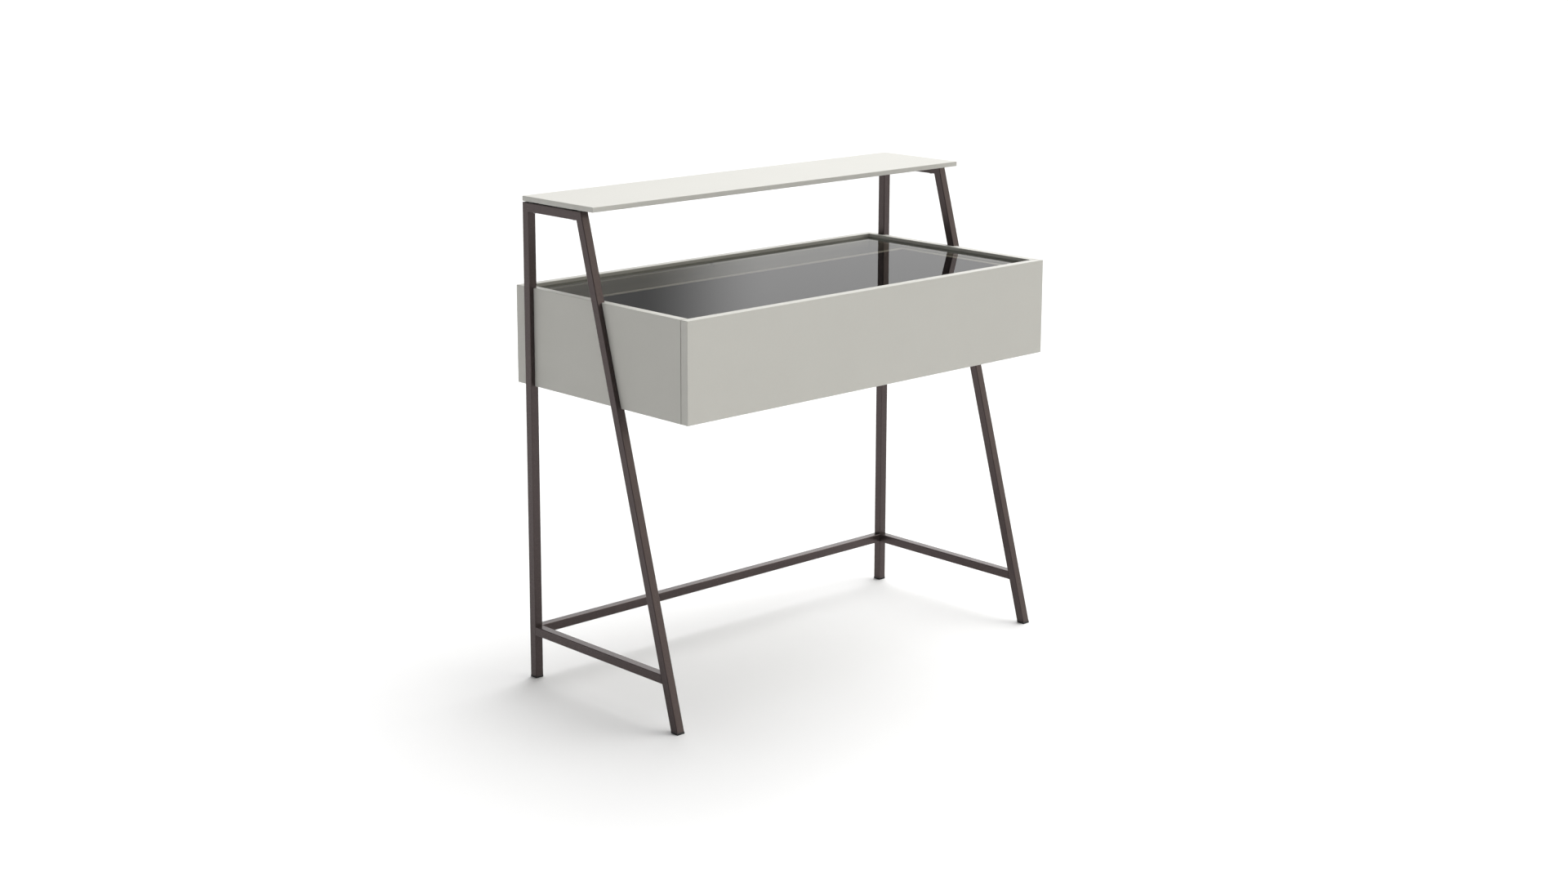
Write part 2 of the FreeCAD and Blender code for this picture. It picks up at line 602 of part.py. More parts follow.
frame_bolts, rivet_nuts, bumpers, ledge_screws, cabinet_screws = [], [], [], [], []
for side, sign in SIDES:
    towards = "+X" if sign > 0 else "-X"
    blank = softened_board(side + "_panel_blank", across(sign, case_inner, case_outer),
                           (side_front, case_back), ("case_bottom", case_top), along("y"))
    groove_low, groove_high = across(sign, f"{case_outer} - groove_depth",
                                     f"{case_outer} + {overcut}")
    post_groove = box(side + "_post_groove", (groove_low, groove_high),
                      (f"{post_front} - groove_clearance", f"{post_back} + groove_clearance"),
                      (f"case_bottom - {overcut}", f"{case_top} + {overcut}"))
    leg_groove = doc.addObject("PartDesign::Body", side + "_leg_groove")
    below, above = f"(case_bottom - {overcut})", f"({case_top} + {overcut})"
    play = f"groove_clearance*{slant}"
    pad(leg_groove,
        outline(leg_groove, "YZ_Plane", side + "_leg_groove_outline",
                [(f"{leg_front(below)} - {play}", below), (f"{leg_back(below)} + {play}", below),
                 (f"{leg_back(above)} + {play}", above), (f"{leg_front(above)} - {play}", above)]),
        f"groove_depth + {overcut}")
    place(leg_groove, "x", groove_low)
    cutters = [post_groove, leg_groove] + holes_for[side]

    for i, (y, z) in enumerate(bolt_places()):
        tag = f"{side}_{i}"
        start = (f"{sign}*{case_inner}", y, z)
        cutters.append(rod("bolt_hole_" + tag, towards, start, "bolt_diameter + bolt_play",
                           "panel_thickness - groove_depth"))
        frame_bolts.append(screw("frame_bolt_" + tag, towards, start,
                                 ("bolt_head_diameter", "bolt_head_height"),
                                 ("bolt_diameter", "bolt_length")))
        nut_start = (f"{sign}*{frame_inner}", y, z)
        nut = rod("nut_blank_" + tag, towards, nut_start, "rivet_nut_diameter", "rivet_nut_length")
        bore = rod("nut_bore_" + tag, towards, nut_start, "bolt_diameter", "2*rivet_nut_length")
        rivet_nuts.append(cut("rivet_nut_" + tag, nut, [bore]))
    housing = box(side + "_bar_housing", across(sign, case_inner, f"{case_inner} + tie_bar_housing"),
                  (bar_front, bar_back), (bar_under, ledge_top))
    cutters.append(housing)
    for i, y in enumerate(ledge_screw_y):
        start = (f"{sign}*{ledge_inner}", y, ledge_screw_z)
        cutters.append(rod(f"{side}_ledge_hole_{i}", towards, start,
                           "ledge_screw_diameter", "ledge_screw_length"))
        ledge_screws.append(rod(f"{side}_ledge_screw_{i}", towards, start,
                                "ledge_screw_diameter", "ledge_screw_length"))
    for i, y in enumerate(runner_screw_y):
        start = (f"{sign}*({case_inner} - runner_sheet)", y, runner_middle)
        cutters.append(rod(f"{side}_runner_hole_{i}", towards, start,
                           "runner_screw_diameter", "runner_screw_length"))
        cabinet_screws.append(screw(f"{side}_cabinet_screw_{i}", towards, start,
                                    ("runner_head_diameter", "runner_head_height"),
                                    ("runner_screw_diameter", "runner_screw_length")))
    keep(side + "_side_panel", cut(side + "_side_panel", blank, cutters))
    bumper_x = f"{sign}*({case_inner} + panel_thickness/2)"
    bumpers += [rod(f"{side}_bumper_{i}", "-Y", (bumper_x, side_front, z), "bumper_diameter",
                    "bumper_height") for i, z in enumerate(bumper_z)]
group("frame_bolts", frame_bolts)
group("rivet_nuts", rivet_nuts)
group("drawer_bumpers", bumpers)

# ---------------------------------------------------------------------------
# Back, floor, front bar and the battens under the glass
# ---------------------------------------------------------------------------
back_blank = softened_board("back_blank", (f"-{case_inner}", case_inner),
                            (case_back_inner, case_back), ("case_bottom", case_top), along("x"))
back_ledge_x = ("0", f"({ledge_inner}*2/3)", f"(-{ledge_inner}*2/3)")
back_ledge_y = f"({case_back_inner} - ledge_width)"
back_screw_holes = []
for i, x in enumerate(back_ledge_x):
    start = (x, back_ledge_y, ledge_screw_z)
    back_screw_holes.append(rod(f"back_ledge_hole_{i}", "+Y", start, "ledge_screw_diameter",
                                "ledge_screw_length"))
    ledge_screws.append(rod(f"back_ledge_screw_{i}", "+Y", start, "ledge_screw_diameter",
                            "ledge_screw_length"))
back_drilled = cut("back_drilled", back_blank, holes_for["back"] + back_screw_holes)
keep("back_panel", cut("back_panel", back_drilled, pockets_for["back"]))

floor_blank = box("floor_blank", (f"-{case_inner}", case_inner), (floor_front, case_back_inner),
                  ("case_bottom", floor_top))
floor_drilled = cut("floor_drilled", floor_blank, holes_for["floor"])
keep("bottom_panel", cut("bottom_panel", floor_drilled, pockets_for["floor"]))

bar_half = f"({case_inner} + tie_bar_housing)"
keep("front_tie_bar", box("front_tie_bar_block", (f"-{bar_half}", bar_half),
                          (bar_front, bar_back), (bar_under, ledge_top)))

for side, sign in SIDES:
    ledge_blank = box(side + "_ledge_blank", across(sign, ledge_inner, case_inner),
                      (bar_back, case_back_inner), (ledge_under, ledge_top))
    towards = "+X" if sign > 0 else "-X"
    drills = [rod(f"{side}_ledge_drill_{i}", towards, (f"{sign}*{ledge_inner}", y, ledge_screw_z),
                  "ledge_screw_diameter", "ledge_width") for i, y in enumerate(ledge_screw_y)]
    keep(side + "_glass_ledge", cut(side + "_glass_ledge", ledge_blank, drills))
back_ledge_blank = box("back_ledge_blank", (f"-{ledge_inner}", ledge_inner),
                       (back_ledge_y, case_back_inner), (ledge_under, ledge_top))
drills = [rod(f"back_ledge_drill_{i}", "+Y", (x, back_ledge_y, ledge_screw_z),
              "ledge_screw_diameter", "ledge_width") for i, x in enumerate(back_ledge_x)]
keep("back_glass_ledge", cut("back_glass_ledge", back_ledge_blank, drills))
group("ledge_screws", ledge_screws)

# ---------------------------------------------------------------------------
# Glass top, lying on clear bumpers inside the rim
# ---------------------------------------------------------------------------
glass_half = f"({case_inner} - glass_gap)"
keep("glass_top", softened_board("glass_blank", (f"-{glass_half}", glass_half),
                                 (bar_front, f"{case_back_inner} - glass_gap"),
                                 (glass_under, glass_top_face), any_edge,
                                 kind="Chamfer", size="glass_arris"))

dots = []
dot_x = f"({case_inner} - ledge_width/2)"
dot_rows = (f"({bar_front} + tie_bar_width/2)", f"(({bar_front} + {case_back_inner})/2)",
            f"({case_back_inner} - ledge_width/2)")
dot_spots = [(f"{sign}*{dot_x}", y) for side, sign in SIDES for y in dot_rows]
dot_spots += [("0", dot_rows[0]), ("0", dot_rows[2])]
for i, (x, y) in enumerate(dot_spots):
    dots.append(rod(f"dot_{i}", "+Z", (x, y, ledge_top), "dot_diameter", "dot_height"))
group("glass_bumpers", dots)

# ---------------------------------------------------------------------------
# Drawer front: full overlay, opened by a finger rebate behind its lower edge
# ---------------------------------------------------------------------------
front_blank = softened_board("front_blank", (f"-{case_outer}", case_outer),
                             ("-case_depth/2", front_inner), ("case_bottom", case_top), any_edge)
finger_rebate = box("finger_rebate", ("-finger_length/2", "finger_length/2"),
                    (f"{front_inner} - finger_depth", f"{front_inner} + finger_depth"),
                    ("case_bottom - finger_height", "case_bottom + finger_height"))
front_screw_x = (f"({drawer_inner} - front_screw_inset)", "0",
                 f"(front_screw_inset - {drawer_inner})")
front_screw_z = (f"({base_high} + front_screw_inset/3)", f"({drawer_high} - front_screw_inset/3)")
front_holes, subfront_holes, front_screws = [], [], []
head_seat = f"({drawer_inner_front} - screw_head_height)"
shank_length = f"{head_seat} - {front_inner} + front_screw_bite"
for i, x in enumerate(front_screw_x):
    for j, z in enumerate(front_screw_z):
        tag = f"{i}_{j}"
        front_holes.append(rod("front_hole_" + tag, "-Y", (x, front_inner, z),
                               "shelf_screw_diameter", "front_screw_bite"))
        subfront_holes.append(screw("subfront_hole_" + tag, "-Y", (x, head_seat, z),
                                    ("screw_head_diameter", "screw_head_height"),
                                    ("shelf_screw_diameter", shank_length)))
        front_screws.append(screw("front_screw_" + tag, "-Y", (x, head_seat, z),
                                  ("screw_head_diameter", "screw_head_height"),
                                  ("shelf_screw_diameter", shank_length)))
keep("drawer_front", cut("drawer_front", front_blank, [finger_rebate] + front_holes))
group("drawer_front_screws", front_screws)

# ---------------------------------------------------------------------------
# Drawer box
# ---------------------------------------------------------------------------
groove_z = (base_low, base_high)
dowel_heights = (f"({drawer_low} + drawer_dowel_inset)", f"({drawer_high} - drawer_dowel_inset)")
dowel_rows = (f"({front_inner} + drawer_board/2)", f"({drawer_end} - drawer_board/2)")


def drawer_dowel(name, sign, y, z):
    towards = "-X" if sign > 0 else "+X"
    return rod(name, towards, (f"{sign}*({drawer_inner} + drawer_dowel_bite)", y, z),
               "drawer_dowel_diameter", "drawer_dowel_length")


drawer_dowels = []
end_holes = {0: [], 1: []}
for side, sign in SIDES:
    blank = box(side + "_drawer_blank", across(sign, drawer_inner, drawer_outer),
                (front_inner, drawer_end), (drawer_low, drawer_high))
    base_slot = box(side + "_base_slot",
                    across(sign, drawer_inner, f"{drawer_inner} + base_groove"),
                    (f"{drawer_inner_front} - base_groove", f"{drawer_inner_back} + base_groove"),
                    groove_z)
    cutters = [base_slot]
    for row, y in enumerate(dowel_rows):
        for i, z in enumerate(dowel_heights):
            tag = f"{side}_{row}_{i}"
            drawer_dowels.append(drawer_dowel("drawer_dowel_" + tag, sign, y, z))
            cutters.append(drawer_dowel("side_dowel_hole_" + tag, sign, y, z))
            end_holes[row].append(drawer_dowel("end_dowel_hole_" + tag, sign, y, z))
    towards = "-X" if sign > 0 else "+X"
    for i, y in enumerate(runner_screw_y):
        cutters.append(rod(f"{side}_member_hole_{i}", towards,
                           (f"{sign}*({drawer_outer} + runner_sheet)", y, runner_middle),
                           "runner_screw_diameter", "runner_screw_length"))
    keep(f"drawer_{side}_side", cut(f"drawer_{side}_side", blank, cutters))
group("drawer_dowels", drawer_dowels)

inner_span = (f"-{drawer_inner}", drawer_inner)
subfront_blank = box("subfront_blank", inner_span, (front_inner, drawer_inner_front),
                     (drawer_low, drawer_high))
subfront_slot = box("subfront_slot", inner_span,
                    (f"{drawer_inner_front} - base_groove", drawer_inner_front), groove_z)
keep("drawer_inner_front", cut("drawer_inner_front", subfront_blank,
                               [subfront_slot] + subfront_holes + end_holes[0]))
drawer_back_blank = box("drawer_back_blank", inner_span, (drawer_inner_back, drawer_end),
                        (drawer_low, drawer_high))
drawer_back_slot = box("drawer_back_slot", inner_span,
                       (drawer_inner_back, f"{drawer_inner_back} + base_groove"), groove_z)
keep("drawer_back", cut("drawer_back", drawer_back_blank, [drawer_back_slot] + end_holes[1]))

tongue = "(base_groove - base_fit)"
base_half = f"({drawer_inner} + {tongue})"
keep("drawer_bottom", box("drawer_bottom_board", (f"-{base_half}", base_half),
                          (f"{drawer_inner_front} - {tongue}", f"{drawer_inner_back} + {tongue}"),
                          groove_z))

liner_top = f"({drawer_high} - liner_drop)"
liner_blank = box("liner_blank", inner_span, (drawer_inner_front, drawer_inner_back),
                  (base_high, liner_top))
liner_half = f"({drawer_inner} - liner_wall)"
liner_hollow = box("liner_hollow", (f"-{liner_half}", liner_half),
                   (f"{drawer_inner_front} + liner_wall", f"{drawer_inner_back} - liner_wall"),
                   (f"{base_high} + liner_wall", f"{liner_top} + liner_wall"))
keep("drawer_liner", cut("drawer_liner", liner_blank, [liner_hollow]))


# ---------------------------------------------------------------------------
# Runners: three nested channels on each side of the drawer
# ---------------------------------------------------------------------------
def channel(name, sign, web, reach, height):
    """A sheet steel channel along Y: the web's outer face, how far its flanges reach
    (negative towards the middle of the table) and its height."""
    inside = f"({web} + runner_sheet)" if not reach.startswith("-") else f"({web} - runner_sheet)"
    tip = f"({web} + ({reach}))"
    low, high = f"({runner_middle} - ({height})/2)", f"({runner_middle} + ({height})/2)"
    section = [(web, low), (tip, low), (tip, f"{low} + runner_sheet"),
               (inside, f"{low} + runner_sheet"), (inside, f"{high} - runner_sheet"),
               (tip, f"{high} - runner_sheet"), (tip, high), (web, high)]
    body = doc.addObject("PartDesign::Body", name)
    corners = [(f"{sign}*({x})", z) for x, z in section]
    pad(body, outline(body, "XZ_Plane", name + "_section", corners), "runner_length")
    place(body, "y", runner_end)
    return body


middle_height = "(runner_height - 2*runner_sheet - 2*ball_room)"
inner_height = f"({middle_height} - 2*runner_sheet - 2*ball_room)"
middle_web = f"({case_inner} - runner_sheet - web_room)"
member_screws = []
for side, sign in SIDES:
    outer_channel = channel(side + "_outer_channel", sign, case_inner, "-runner_reach",
                            "runner_height")
    towards = "+X" if sign > 0 else "-X"
    drills = [rod(f"{side}_outer_drill_{i}", towards,
                  (f"{sign}*({case_inner} - runner_sheet)", y, runner_middle),
                  "runner_screw_diameter", "runner_sheet") for i, y in enumerate(runner_screw_y)]
    keep(side + "_cabinet_runner", cut(side + "_cabinet_runner", outer_channel, drills))
    keep(side + "_middle_runner", channel(side + "_middle_channel", sign, middle_web,
                                          "-middle_reach", middle_height))
    inner_channel = channel(side + "_inner_channel", sign, drawer_outer, "inner_reach",
                            inner_height)
    towards = "-X" if sign > 0 else "+X"
    drills = []
    for i, y in enumerate(runner_screw_y):
        start = (f"{sign}*({drawer_outer} + runner_sheet)", y, runner_middle)
        drills.append(rod(f"{side}_inner_drill_{i}", towards, start, "runner_screw_diameter",
                          "runner_sheet"))
        member_screws.append(screw(f"{side}_member_screw_{i}", towards, start,
                                   ("runner_head_diameter", "runner_head_height"),
                                   ("runner_screw_diameter", "runner_screw_length")))
    keep(side + "_drawer_runner", cut(side + "_drawer_runner", inner_channel, drills))
group("cabinet_runner_screws", cabinet_screws)
group("drawer_runner_screws", member_screws)

# ---------------------------------------------------------------------------
# Check every object, then write one file for each piece
# ---------------------------------------------------------------------------
doc.recompute()
for item in doc.Objects:
    assert not {"Invalid", "Error"} & set(item.State), f"{item.Label}: {item.State}"
for label, piece in pieces.items():
    shape = piece.Shape
    assert not shape.isNull() and shape.isValid() and shape.Solids, label + ": bad shape"
    assert len(label) < 60 and piece.Label == label, label + ": bad name"

os.makedirs("parts", exist_ok=True)
for label, piece in pieces.items():
    piece.Shape.exportStep("parts/%s.step" % label)
print(len(pieces), "pieces written")
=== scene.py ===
# A dressing table: a lacquered case with a smoked glass top and one drawer, let into two
# trapezoid frames of square steel tube, with a thin shelf across the frames at the back.
from math import cos, radians

import bmesh
import bpy
from mathutils import Matrix, Vector


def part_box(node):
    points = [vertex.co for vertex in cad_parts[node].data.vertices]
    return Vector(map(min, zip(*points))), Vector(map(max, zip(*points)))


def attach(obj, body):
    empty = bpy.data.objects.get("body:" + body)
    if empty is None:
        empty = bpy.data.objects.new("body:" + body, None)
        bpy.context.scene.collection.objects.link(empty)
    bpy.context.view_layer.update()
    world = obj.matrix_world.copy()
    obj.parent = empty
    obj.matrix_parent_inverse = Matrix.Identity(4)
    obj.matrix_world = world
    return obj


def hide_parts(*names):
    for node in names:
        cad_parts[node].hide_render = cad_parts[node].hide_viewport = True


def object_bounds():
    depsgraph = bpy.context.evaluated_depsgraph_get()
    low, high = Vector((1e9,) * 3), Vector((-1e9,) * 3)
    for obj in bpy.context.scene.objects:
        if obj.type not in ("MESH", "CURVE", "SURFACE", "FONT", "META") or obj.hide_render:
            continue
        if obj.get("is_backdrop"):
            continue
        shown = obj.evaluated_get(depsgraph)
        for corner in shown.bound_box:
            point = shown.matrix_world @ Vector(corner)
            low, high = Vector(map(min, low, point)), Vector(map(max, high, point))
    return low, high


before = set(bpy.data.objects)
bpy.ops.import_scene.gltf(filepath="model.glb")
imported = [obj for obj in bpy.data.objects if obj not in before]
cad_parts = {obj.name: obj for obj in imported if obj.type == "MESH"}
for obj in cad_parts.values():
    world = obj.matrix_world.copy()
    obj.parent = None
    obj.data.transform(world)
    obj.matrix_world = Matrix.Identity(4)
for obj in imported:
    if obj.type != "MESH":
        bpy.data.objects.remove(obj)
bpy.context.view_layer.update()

# ---------------------------------------------------------------------------
# Steel frames and front bar. Two trapezoid frames and a rear stretcher of 18 mm square steel
# tube, mitred at the top corners, butted at the low rails, welded and ground flush. All of it
# is powder coated in a satin bronze brown: a fine orange peel with metal flakes in it.
# ---------------------------------------------------------------------------
MM = 0.001


def from_hex(code):
    """sRGB hex to the linear colour that a shader takes."""
    parts = [int(code[i:i + 2], 16) / 255 for i in (1, 3, 5)]
    return [p / 12.92 if p <= 0.04045 else ((p + 0.055) / 1.055) ** 2.4 for p in parts] + [1]


def add(tree, kind, inputs=None, **settings):
    """Adds a node. inputs gives each socket its value, or the output that feeds it."""
    node = tree.nodes.new("ShaderNode" + kind)
    for name, value in settings.items():
        setattr(node, name, value)
    for name, value in (inputs or {}).items():
        if isinstance(value, bpy.types.NodeSocket):
            tree.links.new(value, node.inputs[name])
        else:
            node.inputs[name].default_value = value
    return node


def new_finish(name, **sockets):
    """A material with its constants on the shader, and the object's coordinates in metres."""
    material = bpy.data.materials.new(name)
    material.use_nodes = True
    tree = material.node_tree
    shader = tree.nodes["Principled BSDF"]
    for socket, value in sockets.items():
        shader.inputs[socket.replace("_", " ")].default_value = value
    return material, tree, shader, add(tree, "TexCoord").outputs["Object"]


def coat(material, *nodes):
    """Gives CAD nodes a finish."""
    for node in nodes:
        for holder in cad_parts[node].material_slots:
            holder.material = material


powder_coat, tree, shader, place = new_finish(
    "powder_coated_bronze_steel", Metallic=0.6, IOR=1.5, Specular_IOR_Level=0.35)
clouds = add(tree, "TexNoise", {"Vector": place, "Scale": 1 / (60*MM), "Detail": 3.0})
flakes = add(tree, "TexVoronoi", {"Vector": place, "Scale": 1 / (0.8*MM)})  # 0.1 mm, coarsened
peel = add(tree, "TexNoise", {"Vector": place, "Scale": 1 / (2.2*MM), "Detail": 2.0})
lot = add(tree, "SeparateColor", {"Color": flakes.outputs["Color"]})
sparkle = add(tree, "MapRange", {"Value": lot.outputs["Red"], "From Min": 0.80, "From Max": 1.0})
ground = add(tree, "Mix", {0: clouds.outputs["Fac"], 6: from_hex("#443B3B"),
                           7: from_hex("#4A4140")}, data_type="RGBA")
flaked = add(tree, "Mix", {0: sparkle.outputs["Result"], 6: ground.outputs[2],
                           7: from_hex("#574C4A")}, data_type="RGBA")
tree.links.new(flaked.outputs[2], shader.inputs["Base Color"])
satin = add(tree, "MapRange", {"Value": peel.outputs["Fac"], "To Min": 0.23, "To Max": 0.29})
tree.links.new(satin.outputs["Result"], shader.inputs["Roughness"])
relief = add(tree, "Bump", {"Height": peel.outputs["Fac"], "Strength": 0.06,
                            "Distance": 0.08*MM})
tree.links.new(relief.outputs["Normal"], shader.inputs["Normal"])

coat(powder_coat, "rear_stretcher", "front_tie_bar",
     *[side + part for side in ("left", "right")
       for part in ("_rear_post", "_top_rail", "_front_leg", "_low_rail")])

# ---------------------------------------------------------------------------
# Foot caps. Injection moulded black polypropylene caps, pushed into the open tube ends: a
# 4 mm flange as wide as the tube and a plug inside it. The front pair is cut to the lean of
# the legs, so that it stands flat. The mould left a fine spark texture.
# ---------------------------------------------------------------------------
black_plastic, tree, shader, place = new_finish(
    "moulded_black_polypropylene", IOR=1.49, Specular_IOR_Level=0.45)
grain = add(tree, "TexNoise", {"Vector": place, "Scale": 1 / (0.8*MM), "Detail": 3.0})
tint = add(tree, "Mix", {0: grain.outputs["Fac"], 6: from_hex("#0D0D0E"),
                         7: from_hex("#1B1B1C")}, data_type="RGBA")
tree.links.new(tint.outputs[2], shader.inputs["Base Color"])
worn = add(tree, "MapRange", {"Value": grain.outputs["Fac"], "To Min": 0.45, "To Max": 0.62})
tree.links.new(worn.outputs["Result"], shader.inputs["Roughness"])
relief = add(tree, "Bump", {"Height": grain.outputs["Fac"], "Strength": 0.3,
                            "Distance": 0.05*MM})
tree.links.new(relief.outputs["Normal"], shader.inputs["Normal"])

CAP_FLANGE, CAP_PLUG, TUBE_WALL, CAP_PLAY = 4*MM, 14*MM, 1.5*MM, 0.2*MM
CAP_RIM, CAP_HOLLOW, CAP_EDGE = 2.5*MM, 0.8*MM, 0.5*MM  # under the flange, and its rounding
SAME, CLOSE = 0.001*MM, 0.02*MM  # corners nearer than this are one, and edges are in place
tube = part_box("right_rear_post")[1].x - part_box("right_rear_post")[0].x


def solids_of(node):
    """Lowest and highest corner of each separate solid of a CAD node."""
    shape = bmesh.new()
    shape.from_mesh(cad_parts[node].data)
    bmesh.ops.remove_doubles(shape, verts=shape.verts, dist=SAME)
    waiting, found = set(shape.verts), []
    while waiting:
        reached, spots = [waiting.pop()], []
        while reached:
            corner = reached.pop()
            spots.append(corner.co.copy())
            for edge in corner.link_edges:
                other = edge.other_vert(corner)
                if other in waiting:
                    waiting.remove(other)
                    reached.append(other)
        found.append((Vector(map(min, *spots)), Vector(map(max, *spots))))
    shape.free()
    return sorted(found, key=lambda ends: tuple(round(v, 5) for v in ends[0]))


def pick(kind, wanted):
    """In edit mode, selects only the faces or edges that pass a test."""
    bpy.ops.mesh.select_mode(type=kind)
    bpy.ops.mesh.select_all(action="DESELECT")
    shape = bmesh.from_edit_mesh(bpy.context.object.data)
    shape.normal_update()
    for item in shape.faces if kind == "FACE" else shape.edges:
        if wanted(item):
            item.select_set(True)
    bmesh.update_edit_mesh(bpy.context.object.data)


def middle(edge):
    return (edge.verts[0].co + edge.verts[1].co) / 2


def join_as(name, parts, material, sharp=radians(35)):
    """Joins finished parts into one piece that sits at the origin."""
    bpy.ops.object.select_all(action="DESELECT")
    for part in parts:
        part.select_set(True)
    bpy.context.view_layer.objects.active = parts[0]
    bpy.ops.object.transform_apply(location=True, rotation=True, scale=True)
    if len(parts) > 1:
        bpy.ops.object.join()
    piece = bpy.context.object
    bpy.ops.object.mode_set(mode="EDIT")
    bpy.ops.mesh.select_all(action="SELECT")
    bpy.ops.mesh.normals_make_consistent(inside=False)
    bpy.ops.object.mode_set(mode="OBJECT")
    bpy.ops.object.shade_smooth_by_angle(angle=sharp)
    piece.name = piece.data.name = name
    piece.data.materials.clear()
    piece.data.materials.append(material)
    bpy.ops.object.select_all(action="DESELECT")
    return piece


def foot_cap(low, high, lean):
    """One cap: flange, plug and a shallow hollow below. It leans back by lean for each metre."""
    across, flat = high.x - low.x, tube * (1 + lean**2) ** 0.5
    centre = (low.x + high.x) / 2

    def on_outside(edge):
        spot = middle(edge)
        ahead = spot.y - lean * spot.z - low.y
        return spot.z < CAP_FLANGE + CLOSE and (abs(abs(spot.x - centre) - across / 2) < CLOSE
                                                or min(abs(ahead), abs(ahead - flat)) < CLOSE)

    bpy.ops.object.select_all(action="DESELECT")
    bpy.ops.mesh.primitive_cube_add(size=1, location=(centre, low.y + flat / 2, CAP_FLANGE / 2))
    cap = bpy.context.object
    cap.scale = (across, flat, CAP_FLANGE)
    bpy.ops.object.transform_apply(location=True, rotation=True, scale=True)
    bpy.ops.object.mode_set(mode="EDIT")
    pick("FACE", lambda face: face.normal.z > 0.9)
    bpy.ops.transform.translate(value=(0, lean * CAP_FLANGE, 0))
    bpy.ops.mesh.inset(thickness=TUBE_WALL + CAP_PLAY)
    bpy.ops.mesh.extrude_region_move(
        TRANSFORM_OT_translate={"value": (0, lean * CAP_PLUG, CAP_PLUG)})
    pick("FACE", lambda face: face.normal.z < -0.9)
    bpy.ops.mesh.inset(thickness=CAP_RIM)
    bpy.ops.mesh.extrude_region_move(TRANSFORM_OT_translate={"value": (0, 0, CAP_HOLLOW)})
    pick("EDGE", on_outside)
    bpy.ops.mesh.bevel(offset=CAP_EDGE, segments=3)
    bpy.ops.object.mode_set(mode="OBJECT")
    return cap


leg_lean = ((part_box("left_top_rail")[0].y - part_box("front_foot_caps")[0].y)
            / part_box("left_top_rail")[1].z)
for name, node, lean in (("rear_foot_caps_moulded", "rear_foot_caps", 0),
                         ("front_foot_caps_moulded", "front_foot_caps", leg_lean)):
    piece = join_as(name, [foot_cap(low, high, lean) for low, high in solids_of(node)],
                    black_plastic)
    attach(piece, "case")
    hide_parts(node)

# ---------------------------------------------------------------------------
# Shelf. A 10 mm fibreboard shelf across both frames, sprayed all round with matt lacquer. It
# stands on four black plastic washers and is held by button head screws up through the rails.
# Sprayed lacquer has a soft orange peel of 2 to 3 mm, and its tone and sheen vary faintly.
# ---------------------------------------------------------------------------
lacquer, tree, shader, place = new_finish(
    "matt_lacquered_fibreboard", IOR=1.5, Specular_IOR_Level=0.25)
clouds = add(tree, "TexNoise", {"Vector": place, "Scale": 1 / (140*MM), "Detail": 3.0})
peel = add(tree, "TexNoise", {"Vector": place, "Scale": 1 / (2.6*MM), "Detail": 3.0})
pores = add(tree, "TexNoise", {"Vector": place, "Scale": 1 / (0.7*MM), "Detail": 1.0})
tone = add(tree, "Mix", {0: clouds.outputs["Fac"], 6: from_hex("#BAB9B3"),
                         7: from_hex("#BEBDB7")}, data_type="RGBA")
speck = add(tree, "MapRange", {"Value": pores.outputs["Fac"], "From Min": 0.3,
                               "From Max": 0.7, "To Min": 0.975, "To Max": 1.015})
shade = add(tree, "VectorMath", {0: tone.outputs[2], "Scale": speck.outputs["Result"]},
            operation="SCALE")
tree.links.new(shade.outputs["Vector"], shader.inputs["Base Color"])
matt = add(tree, "MapRange", {"Value": peel.outputs["Fac"], "To Min": 0.42, "To Max": 0.56})
tree.links.new(matt.outputs["Result"], shader.inputs["Roughness"])
relief = add(tree, "Bump", {"Height": peel.outputs["Fac"], "Strength": 0.10,
                            "Distance": 0.06*MM})
tree.links.new(relief.outputs["Normal"], shader.inputs["Normal"])
coat(lacquer, "shelf_board")
coat(black_plastic, "shelf_washers")

zinc_plate, tree, shader, place = new_finish("zinc_plated_steel", Metallic=1.0)
drawn = add(tree, "Mapping", {"Vector": place, "Scale": (1, 0.03, 1)})  # lines along the strip
lines = add(tree, "TexNoise", {"Vector": drawn.outputs["Vector"], "Scale": 1 / (0.5*MM),
                               "Detail": 3.0})
clouds = add(tree, "TexNoise", {"Vector": place, "Scale": 1 / (18*MM), "Detail": 2.0})
tint = add(tree, "Mix", {0: clouds.outputs["Fac"], 6: from_hex("#AEB2B6"),
                         7: from_hex("#C6C7C4")}, data_type="RGBA")
tree.links.new(tint.outputs[2], shader.inputs["Base Color"])
dull = add(tree, "MapRange", {"Value": lines.outputs["Fac"], "To Min": 0.26, "To Max": 0.42})
tree.links.new(dull.outputs["Result"], shader.inputs["Roughness"])
relief = add(tree, "Bump", {"Height": lines.outputs["Fac"], "Strength": 0.08,
                            "Distance": 0.02*MM})
tree.links.new(relief.outputs["Normal"], shader.inputs["Normal"])


def deepen(piece, tool):
    """Cuts a tool out of a piece and throws the tool away."""
    bpy.ops.object.select_all(action="DESELECT")
    bpy.context.view_layer.objects.active = piece
    piece.select_set(True)
    cutter = piece.modifiers.new("recess", "BOOLEAN")
    cutter.operation, cutter.solver, cutter.object = "DIFFERENCE", "EXACT", tool
    bpy.ops.object.modifier_apply(modifier=cutter.name)
    bpy.data.objects.remove(tool)
    return piece


